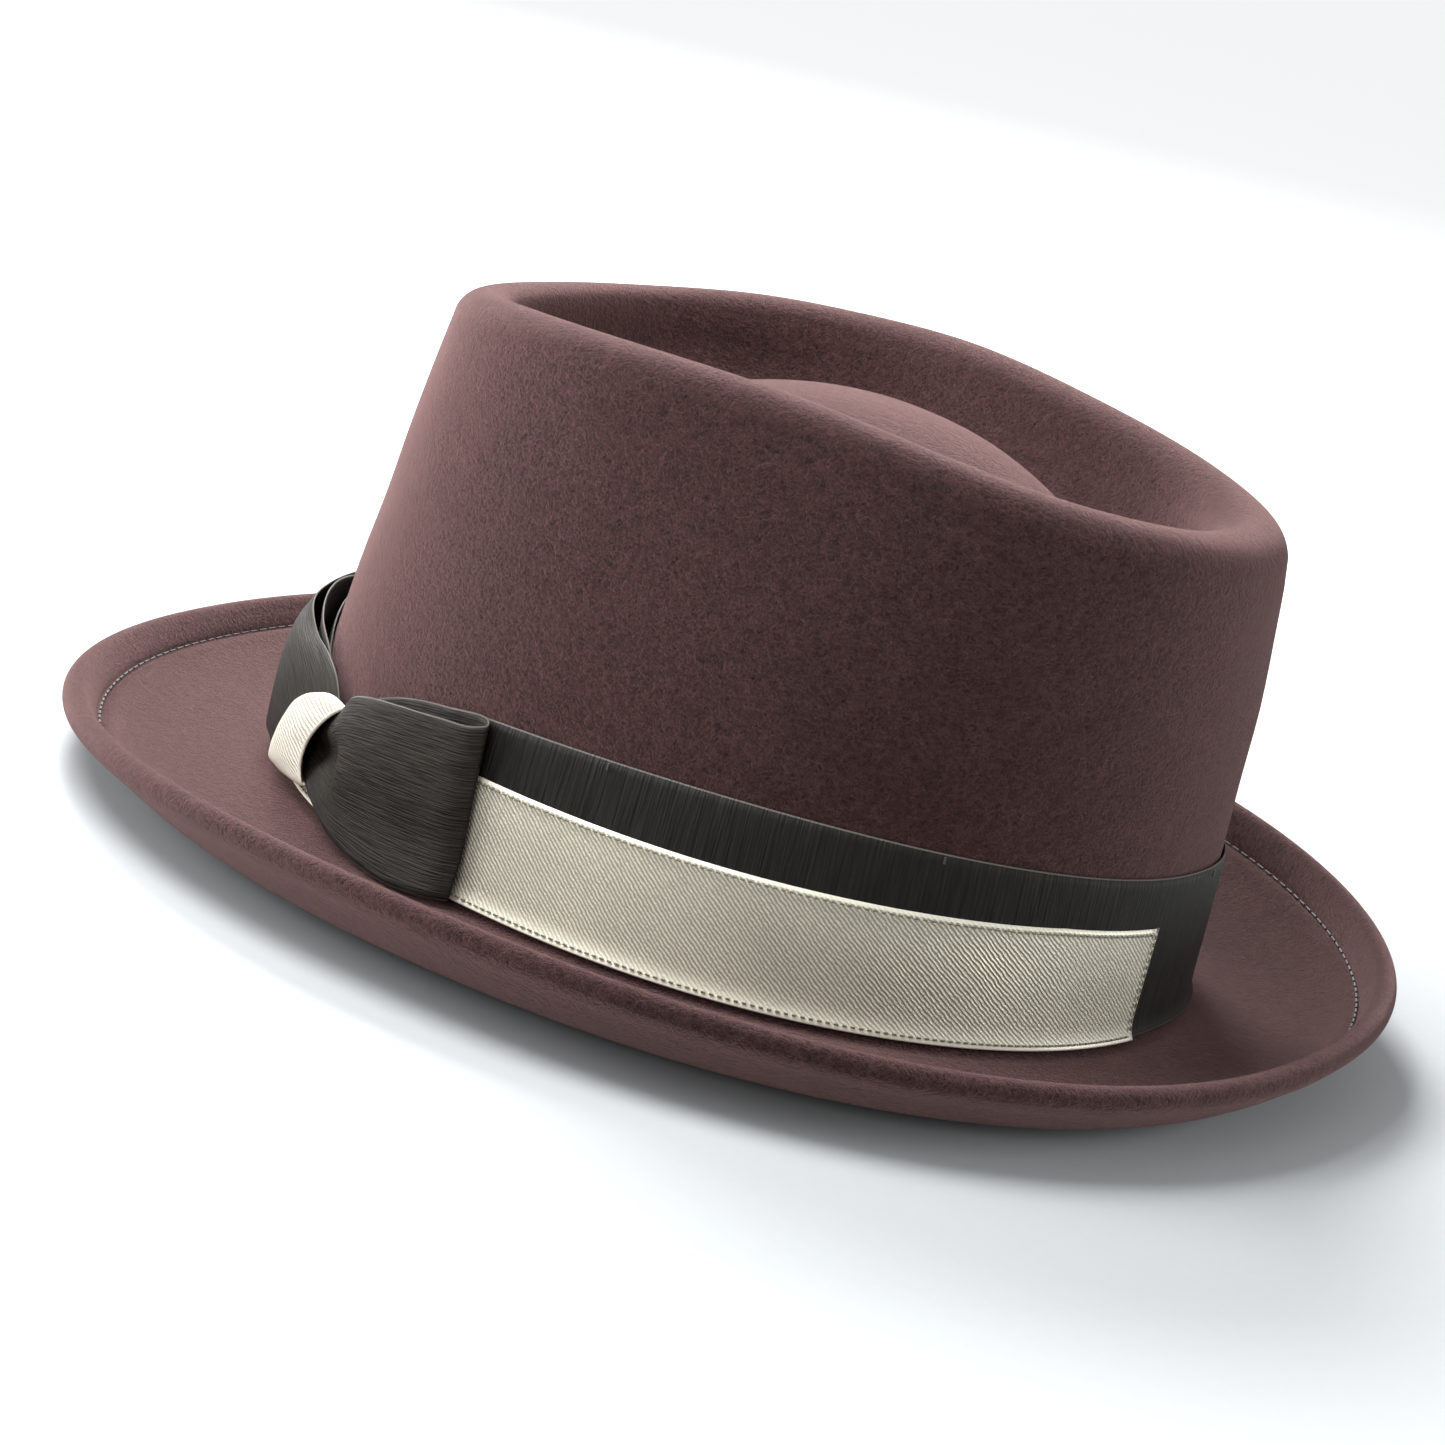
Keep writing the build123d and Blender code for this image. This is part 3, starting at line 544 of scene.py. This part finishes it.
def build_lining(material):
    def low(turns):
        return LINING_LOW + 0 * turns

    tall = LINING_HIGH - LINING_LOW
    grid = ring_grid(lining_middle, low, LINING_HIGH, 34)
    side = build_cloth("lining_wall", grid, LINING_THICKNESS, tall, material, closed=True)
    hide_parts("lining_side")
    tip = build_cloth("lining_crown", tip_grid(), LINING_THICKNESS, 2 * FOOT_WIDTH_HALF, material)
    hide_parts("lining_tip")


def tip_grid(cells=64):
    """The lining's oval tip, as a square of cloth drawn round into the oval and puffed a little."""
    across, along = np.meshgrid(*[np.linspace(-1, 1, cells + 1)] * 2, indexing="ij")
    x = across * np.sqrt(1 - along ** 2 / 2)
    y = along * np.sqrt(1 - across ** 2 / 2)
    share = np.hypot(x, y)
    turn = np.arctan2(x, -y)
    edge = felt_inside(turn, LINING_HIGH) - LINING_CLEARANCE
    height = LINING_TIP_HEIGHT + LINING_THICKNESS / 2 + LINING_PUFF * (1 - share ** 2)
    return round_crown(turn, edge * share, height)


def build_rear_bow(material):
    """The small ribbon bow on the back seam of the sweatband, nipped at its middle."""
    turns = np.radians(np.linspace(-REAR_BOW_HALF_TURN, REAR_BOW_HALF_TURN, 40))
    share = np.abs(turns) / turns[-1]
    spread = REAR_BOW_HALF_HEIGHT * (REAR_BOW_WAIST + (1 - REAR_BOW_WAIST) * share)
    columns = []
    for across in np.linspace(-1, 1, 13):
        height = REAR_BOW_MIDDLE + across * spread
        creases = 0.5 + 0.5 * np.cos(across * REAR_BOW_CREASES * math.pi)
        loops = np.sin(math.pi * share) * (1 - across ** 2)
        off = REAR_BOW_OFF + REAR_BOW_PUFF * (creases * (1 - share) + loops)
        radius = sweat_middle(turns + math.pi, height) - SWEAT_THICKNESS / 2 - off
        columns.append(round_crown(turns + math.pi, radius, height))
    width = 2 * REAR_BOW_HALF_HEIGHT
    bow = build_cloth("rear_bow", np.stack(columns, axis=1), REAR_BOW_THICKNESS, width, material)
    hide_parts("sweatband_rear_bow")


# ---- materials -----------------------------------------------------------------------------

# Dark and light colours of the cloths, linear
BAND_COLOURS = (0.0017, 0.0015, 0.0011), (0.0150, 0.0130, 0.0100)
# The bow's colours are a lighter copy of the band's grosgrain: painted light for the loops, which face
# the front
BOW_PAINTED_LIT_COLOURS = (0.0058, 0.0048, 0.0036), (0.040, 0.0325, 0.0255)
STRIP_COLOURS = (0.38, 0.355, 0.27), (0.95, 0.91, 0.76)
KNOT_COLOURS = (0.64, 0.60, 0.49), (0.84, 0.79, 0.67)
SELVEDGE_COLOUR = (0.11, 0.10, 0.088, 1)
# Ribs a metre along and across each ribbon, and how far they lean
BAND_RIBS, BOW_RIBS = (1500, 60), (110, 2300)
BOW_LEAN, STRIP_LEAN, KNOT_LEAN = math.radians(3), math.radians(-50), math.radians(35)


class Finish:
    """A material being built: a Principled shader and helpers that add nodes to it."""

    def __init__(self, name, roughness, **sockets):
        self.material = bpy.data.materials.new(name)
        self.material.use_nodes = True
        self.tree = self.material.node_tree
        self.shader = self.tree.nodes["Principled BSDF"]
        self.shader.inputs["Roughness"].default_value = roughness
        for socket, value in sockets.items():
            self.shader.inputs[socket.replace("_", " ")].default_value = value

    def node(self, kind, **settings):
        made = self.tree.nodes.new(kind)
        for name, value in settings.items():
            setattr(made, name, value)
        return made

    def link(self, source, target):
        self.tree.links.new(source, target)

    def place(self, uv, scale, turn=0.0):
        """Coordinates in metres, from the ribbon's UVs or the object's own space."""
        source = self.node("ShaderNodeTexCoord").outputs["UV" if uv else "Object"]
        mapping = self.node("ShaderNodeMapping")
        mapping.inputs["Rotation"].default_value = (0, 0, turn)
        mapping.inputs["Scale"].default_value = scale
        self.link(source, mapping.inputs["Vector"])
        return mapping.outputs["Vector"]

    def noise(self, coordinates, detail=3.0, distortion=0.0, rough=0.5):
        made = self.node("ShaderNodeTexNoise")
        made.inputs["Scale"].default_value = 1.0
        made.inputs["Detail"].default_value = detail
        made.inputs["Roughness"].default_value = rough
        made.inputs["Distortion"].default_value = distortion
        self.link(coordinates, made.inputs["Vector"])
        return made.outputs["Fac"]

    def ramp(self, source, stops):
        """Colours or greys along a value: stops of (place, colour)."""
        made = self.node("ShaderNodeValToRGB")
        elements = made.color_ramp.elements
        for index, (position, colour) in enumerate(stops):
            stop = elements[index] if index < 2 else elements.new(position)
            stop.position = position
            stop.color = (*colour, 1) if isinstance(colour, tuple) else (colour,) * 3 + (1,)
        self.link(source, made.inputs["Fac"])
        return made.outputs["Color"]

    def mix(self, kind, share, first, second):
        """Blends two colour outputs; share is a number or an output."""
        made = self.node("ShaderNodeMix", data_type="RGBA", blend_type=kind)
        if isinstance(share, float):
            made.inputs["Factor"].default_value = share
        else:
            self.link(share, made.inputs["Factor"])
        self.link(first, made.inputs["A"])
        self.link(second, made.inputs["B"])
        return made.outputs["Result"]

    def colour(self, source):
        self.link(source, self.shader.inputs["Base Color"])

    def bump(self, source, depth, strength=1.0):
        made = self.node("ShaderNodeBump")
        made.inputs["Strength"].default_value = strength
        made.inputs["Distance"].default_value = depth
        previous = self.shader.inputs["Normal"]
        if previous.is_linked:
            self.link(previous.links[0].from_socket, made.inputs["Normal"])
        self.link(source, made.inputs["Height"])
        self.link(made.outputs["Normal"], previous)


def felt_finish():
    """Brushed fur felt: a fine speckled nap, slow blotches and a soft sheen."""
    felt = Finish("fur_felt", 0.92, Sheen_Weight=0.46, Sheen_Roughness=0.38,
                  Specular_IOR_Level=0.12, Sheen_Tint=(1.0, 0.62, 0.60, 1))
    nap = felt.noise(felt.place(False, (950, 950, 1200)), 5.0, 1.4, 0.75)
    clumps = felt.noise(felt.place(False, (300, 300, 420)), 5.0, 1.6, 0.65)
    blotches = felt.noise(felt.place(False, (90, 90, 110)), 6.0, 1.8, 0.68)
    base = felt.ramp(nap, ((0.36, (0.015, 0.0058, 0.0056)), (0.64, (0.092, 0.0425, 0.0415))))
    tone = felt.ramp(clumps, ((0.34, 0.62), (0.66, 1.0)))
    wide = felt.ramp(blotches, ((0.34, 0.74), (0.66, 1.06)))
    felt.colour(felt.mix("MULTIPLY", 1.0, felt.mix("MULTIPLY", 1.0, base, tone), wide))
    felt.bump(nap, 0.0006, 0.85)
    felt.bump(clumps, 0.0007, 0.6)
    return felt.material


def ribbon_finish(name, dark, light, along, across, width, lean=0.0):
    """Charcoal grosgrain; along and across are ribs a metre in those directions."""
    ribbon = Finish(name, 0.62, Specular_IOR_Level=0.22)
    place = ribbon.place(True, (along, across, 1), lean)
    ribs = ribbon.noise(place, 3.0, 0.35, 0.55)
    cloud = ribbon.noise(ribbon.place(True, (70, 70, 1)), 3.0)
    base = ribbon.ramp(ribs, ((0.32, dark), (0.66, light)))
    tone = ribbon.ramp(cloud, ((0.3, 0.75), (0.7, 1.0)))
    edge = ribbon.ramp(selvedge(ribbon, width, SELVEDGE), ((0.0, 0.0), (1.0, 1.0)))
    border = ribbon.node("ShaderNodeRGB")
    border.outputs[0].default_value = SELVEDGE_COLOUR
    plain = ribbon.mix("MULTIPLY", 1.0, base, tone)
    ribbon.colour(ribbon.mix("MIX", edge, plain, border.outputs[0]))
    ribbon.bump(ribs, 0.0005, 0.9)
    return ribbon.material


def selvedge(finish, width, border):
    """1 within a border of either edge of a ribbon, 0 elsewhere; width and border in mm."""
    split = finish.node("ShaderNodeSeparateXYZ")
    finish.link(finish.node("ShaderNodeTexCoord").outputs["UV"], split.inputs[0])
    centred = finish.node("ShaderNodeMath", operation="SUBTRACT")
    finish.link(split.outputs["Y"], centred.inputs[0])
    centred.inputs[1].default_value = width * MM / 2
    away = finish.node("ShaderNodeMath", operation="ABSOLUTE")
    finish.link(centred.outputs[0], away.inputs[0])
    near = finish.node("ShaderNodeMath", operation="GREATER_THAN")
    finish.link(away.outputs[0], near.inputs[0])
    near.inputs[1].default_value = (width / 2 - border) * MM
    return near.outputs[0]


def strip_finish(name, dark, light, width, lean):
    """Silver-beige rep: fine ribs on the slant, broken by threads, smooth bright borders, and a
    painted highlight along the lower edge.
    """
    strip = Finish(name, 0.4, Sheen_Weight=0.2, Specular_IOR_Level=0.5, Metallic=0.12)
    wander = strip.noise(strip.place(True, (120, 120, 1)), 2.0)
    ribs = strip.node("ShaderNodeTexWave", wave_type="BANDS", bands_direction="X")
    ribs.inputs["Scale"].default_value = RIBS_PER_METRE / WAVE_BANDS
    ribs.inputs["Distortion"].default_value = 2.2
    ribs.inputs["Detail"].default_value = 2.0
    ribs.inputs["Detail Scale"].default_value = 1.6
    strip.link(strip.place(True, (1, 1, 1), lean), ribs.inputs["Vector"])
    strip.link(strip.ramp(wander, ((0.0, 0.0), (1.0, 6.0))), ribs.inputs["Phase Offset"])
    grain = strip.noise(strip.place(True, (1900, 2600, 1), lean), 3.0, 0.6, 0.65)
    cloud = strip.noise(strip.place(True, (55, 80, 1)), 3.0)
    breaks = strip.ramp(grain, ((0.3, 0.2), (0.6, 1.0)))
    weave = strip.mix("MULTIPLY", 0.85, ribs.outputs["Color"], breaks)
    border = strip.ramp(selvedge(strip, width, STRIP_BORDER), ((0.0, 0.0), (1.0, 0.8)))
    # Painted highlight: the weave is mixed towards white over the few millimetres next to the lower
    # edge
    shine = strip.node("ShaderNodeTexGradient", gradient_type="LINEAR")
    from_edge = strip.place(True, (1 / (STRIP_SHINE_WIDTH * MM),) * 3, math.radians(-90))
    strip.link(from_edge, shine.inputs["Vector"])
    painted_highlight_foot = strip.ramp(shine.outputs["Fac"], ((0.0, 0.75), (1.0, 0.0)))
    white = strip.node("ShaderNodeRGB")
    white.outputs[0].default_value = (0.85, 0.85, 0.85, 1)
    foot = strip.mix("MIX", painted_highlight_foot, weave, white.outputs[0])
    cover = strip.mix("MIX", border, foot, white.outputs[0])
    base = strip.ramp(cover, ((0.05, dark), (0.8, light)))
    tone = strip.ramp(cloud, ((0.3, 0.9), (0.7, 1.0)))
    strip.colour(strip.mix("MULTIPLY", 1.0, base, tone))
    strip.bump(cover, 0.00025, 0.8)
    return strip.material


def thread_finish(name, dark, light):
    thread = Finish(name, 0.6, Sheen_Weight=0.3)
    twist = thread.noise(thread.place(False, (5200, 5200, 5200)), 2.0)
    thread.colour(thread.ramp(twist, ((0.3, dark), (0.7, light))))
    thread.bump(twist, 0.0001, 0.6)
    return thread.material


def leather_finish():
    """Smooth roan leather with a fine pebble."""
    leather = Finish("roan_leather", 0.48, Specular_IOR_Level=0.4)
    pores = leather.node("ShaderNodeTexVoronoi", feature="DISTANCE_TO_EDGE")
    pores.inputs["Scale"].default_value = 1.0
    leather.link(leather.place(False, (1100, 1100, 1100)), pores.inputs["Vector"])
    cloud = leather.noise(leather.place(False, (90, 90, 90)), 4.0)
    leather.colour(leather.ramp(cloud, ((0.3, (0.052, 0.026, 0.016)), (0.7, (0.098, 0.051, 0.032)))))
    leather.bump(leather.ramp(pores.outputs["Distance"], ((0.0, 0.0), (0.3, 1.0))), 0.00012, 0.6)
    return leather.material


def satin_finish():
    """Dark satin lining with a fine thread line."""
    satin = Finish("lining_cloth", 0.36, Sheen_Weight=0.4, Specular_IOR_Level=0.5)
    threads = satin.noise(satin.place(False, (300, 300, 2600)), 2.0)
    cloud = satin.noise(satin.place(False, (30, 30, 30)), 3.0)
    base = satin.ramp(threads, ((0.3, (0.026, 0.016, 0.018)), (0.7, (0.055, 0.036, 0.040))))
    satin.colour(satin.mix("MULTIPLY", 1.0, base, satin.ramp(cloud, ((0.3, 0.8), (0.7, 1.0)))))
    satin.bump(threads, 0.0001, 0.4)
    return satin.material


def plastic_finish():
    plastic = Finish("reed_core", 0.35, Specular_IOR_Level=0.5)
    cloud = plastic.noise(plastic.place(False, (400, 400, 400)), 2.0)
    plastic.colour(plastic.ramp(cloud, ((0.3, (0.50, 0.48, 0.42)), (0.7, (0.62, 0.60, 0.54)))))
    plastic.bump(cloud, 0.00005, 0.3)
    return plastic.material


def dress_nodes(finishes):
    """Gives the CAD nodes that stay in view their materials."""
    for node, material in finishes.items():
        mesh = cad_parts[node].data
        mesh.materials.clear()
        mesh.materials.append(material)


# ---- stage ---------------------------------------------------------------------------------

PHOTO_AZIMUTH = math.radians(116.34)
PHOTO_ELEVATION = math.radians(14.56)
PHOTO_ROLL = math.radians(14.34)
CAMERA_DISTANCE = 0.8359
CAMERA_LENS = 94.17
AIM_HEIGHT = 45.0
AIM_RIGHT, AIM_UP = -0.0135, -0.0089
WORLD_LIGHT = 0.36
FLOOR_GLOW_AT = 0.7
FLOOR_RADIUS = 14
# Name, azimuth and elevation in degrees, distance and size in metres, power in watts
LIGHTS = (
    ("key_softbox", 318, 38, 1.6, 0.7, 46),
    ("left_softbox", 22, 17, 1.6, 0.9, 20),
    ("near_softbox", 34, 58, 0.52, 0.4, 4.2),
    ("front_softbox", 92, 14, 1.7, 0.9, 6),
    ("right_softbox", 208, 18, 1.6, 0.8, 12),
)


def direction(azimuth, elevation):
    """The way from the hat to something at that azimuth and elevation, in radians."""
    flat = math.cos(elevation)
    return Vector((math.sin(azimuth) * flat, -math.cos(azimuth) * flat, math.sin(elevation)))


def make_camera():
    back = direction(PHOTO_AZIMUTH, PHOTO_ELEVATION)
    level = Vector((math.cos(PHOTO_AZIMUTH), math.sin(PHOTO_AZIMUTH), 0))
    above = back.cross(level)
    right = level * math.cos(PHOTO_ROLL) + above * math.sin(PHOTO_ROLL)
    up = above * math.cos(PHOTO_ROLL) - level * math.sin(PHOTO_ROLL)
    middle = Vector((0, CROWN_MIDDLE_Y, CROWN_FOOT_Z + AIM_HEIGHT * MM))
    place = middle + right * AIM_RIGHT + up * AIM_UP + back * CAMERA_DISTANCE
    camera = bpy.data.objects.new("camera", bpy.data.cameras.new("camera"))
    camera.data.lens = CAMERA_LENS
    camera.data.clip_start = 0.01
    camera.matrix_world = Matrix.Translation(place) @ Matrix((right, up, back)).transposed().to_4x4()
    bpy.context.scene.collection.objects.link(camera)
    bpy.context.scene.camera = camera


def make_light(name, azimuth, elevation, distance, size, power):
    lamp = bpy.data.lights.new(name, "AREA")
    lamp.shape = "DISK"
    lamp.size = size
    lamp.energy = power
    holder = bpy.data.objects.new(name, lamp)
    aim = direction(math.radians(azimuth), math.radians(elevation))
    holder.location = aim * distance + Vector((0, 0, 0.05))
    holder.rotation_mode = "QUATERNION"
    holder.rotation_quaternion = aim.to_track_quat("Z", "Y")
    bpy.context.scene.collection.objects.link(holder)


def paint_world(tree):
    """A white backdrop that lights the hat with only part of its brightness."""
    seen = tree.nodes.new("ShaderNodeLightPath")
    brightness = tree.nodes.new("ShaderNodeMapRange")
    brightness.inputs["To Min"].default_value = WORLD_LIGHT
    brightness.inputs["To Max"].default_value = 1.0
    background = tree.nodes["Background"]
    background.inputs["Color"].default_value = (0.985, 0.99, 1.0, 1)
    tree.links.new(seen.outputs["Is Camera Ray"], brightness.inputs["Value"])
    tree.links.new(brightness.outputs["Result"], background.inputs["Strength"])


def make_stage():
    world = bpy.data.worlds.new("studio")
    world.use_nodes = True
    paint_world(world.node_tree)
    bpy.context.scene.world = world
    bpy.context.scene.view_settings.view_transform = "Standard"
    paper = Finish("floor_paper", 0.9, Specular_IOR_Level=0.1, Emission_Color=(1, 1, 1, 1))
    grain = paper.noise(paper.place(False, (300, 300, 300)), 2.0)
    paper.colour(paper.ramp(grain, ((0.0, (0.47, 0.49, 0.505)), (1.0, (0.49, 0.51, 0.525)))))
    away = paper.node("ShaderNodeTexGradient", gradient_type="SPHERICAL")
    paper.link(paper.place(False, (1 / FLOOR_GLOW_AT,) * 3), away.inputs["Vector"])
    glow = paper.ramp(away.outputs["Fac"], ((0.2, 0.72), (0.7, 0.0)))
    paper.link(glow, paper.shader.inputs["Emission Strength"])
    bpy.ops.mesh.primitive_circle_add(vertices=96, radius=FLOOR_RADIUS, fill_type="NGON")
    floor = bpy.context.object
    floor.name = "floor"
    floor.data.materials.append(paper.material)
    for light in LIGHTS:
        make_light(*light)


def main():
    band_cloth = ribbon_finish("band_grosgrain", *BAND_COLOURS, *BAND_RIBS, BAND_WIDTH)
    painted_lit_loop_cloth = ribbon_finish("bow_grosgrain_painted_lit", *BOW_PAINTED_LIT_COLOURS, *BOW_RIBS, BOW_WIDTH, BOW_LEAN)
    strip_cloth = strip_finish("silver_rep", *STRIP_COLOURS, STRIP_WIDTH, STRIP_LEAN)
    knot_cloth = strip_finish("knot_rep", *KNOT_COLOURS, KNOT_WIDTH, KNOT_LEAN)
    felt_thread = thread_finish("felt_sewing_thread", (0.02, 0.011, 0.011), (0.05, 0.028, 0.028))
    band_thread = thread_finish("band_sewing_thread", (0.012, 0.011, 0.01), (0.035, 0.032, 0.028))
    strip_thread = thread_finish("strip_sewing_thread", (0.12, 0.105, 0.07), (0.26, 0.235, 0.17))
    sweat_thread = thread_finish("sweat_sewing_thread", (0.05, 0.03, 0.02), (0.12, 0.08, 0.055))
    build_felt(felt_finish())
    build_band(band_cloth)
    build_strip(strip_cloth)
    build_bow(painted_lit_loop_cloth, knot_cloth)
    build_sweatband(leather_finish())
    build_lining(satin_finish())
    build_rear_bow(thread_finish("rear_bow_ribbon", (0.02, 0.017, 0.015), (0.05, 0.043, 0.038)))
    dress_nodes({
        "welt_stitching": felt_thread,
        "band_tack_stitches": band_thread,
        "strip_top_stitching": strip_thread,
        "strip_bottom_stitching": strip_thread,
        "strip_end_stitching": strip_thread,
        "sweatband_stitching": sweat_thread,
        "sweatband_reed": plastic_finish(),
        "reed_tape": thread_finish("reed_tape_weave", (0.03, 0.02, 0.018), (0.07, 0.05, 0.045)),
        "lining_piping": thread_finish("piping_cord", (0.03, 0.02, 0.02), (0.08, 0.055, 0.055)),
    })
    make_camera()
    make_stage()


main()
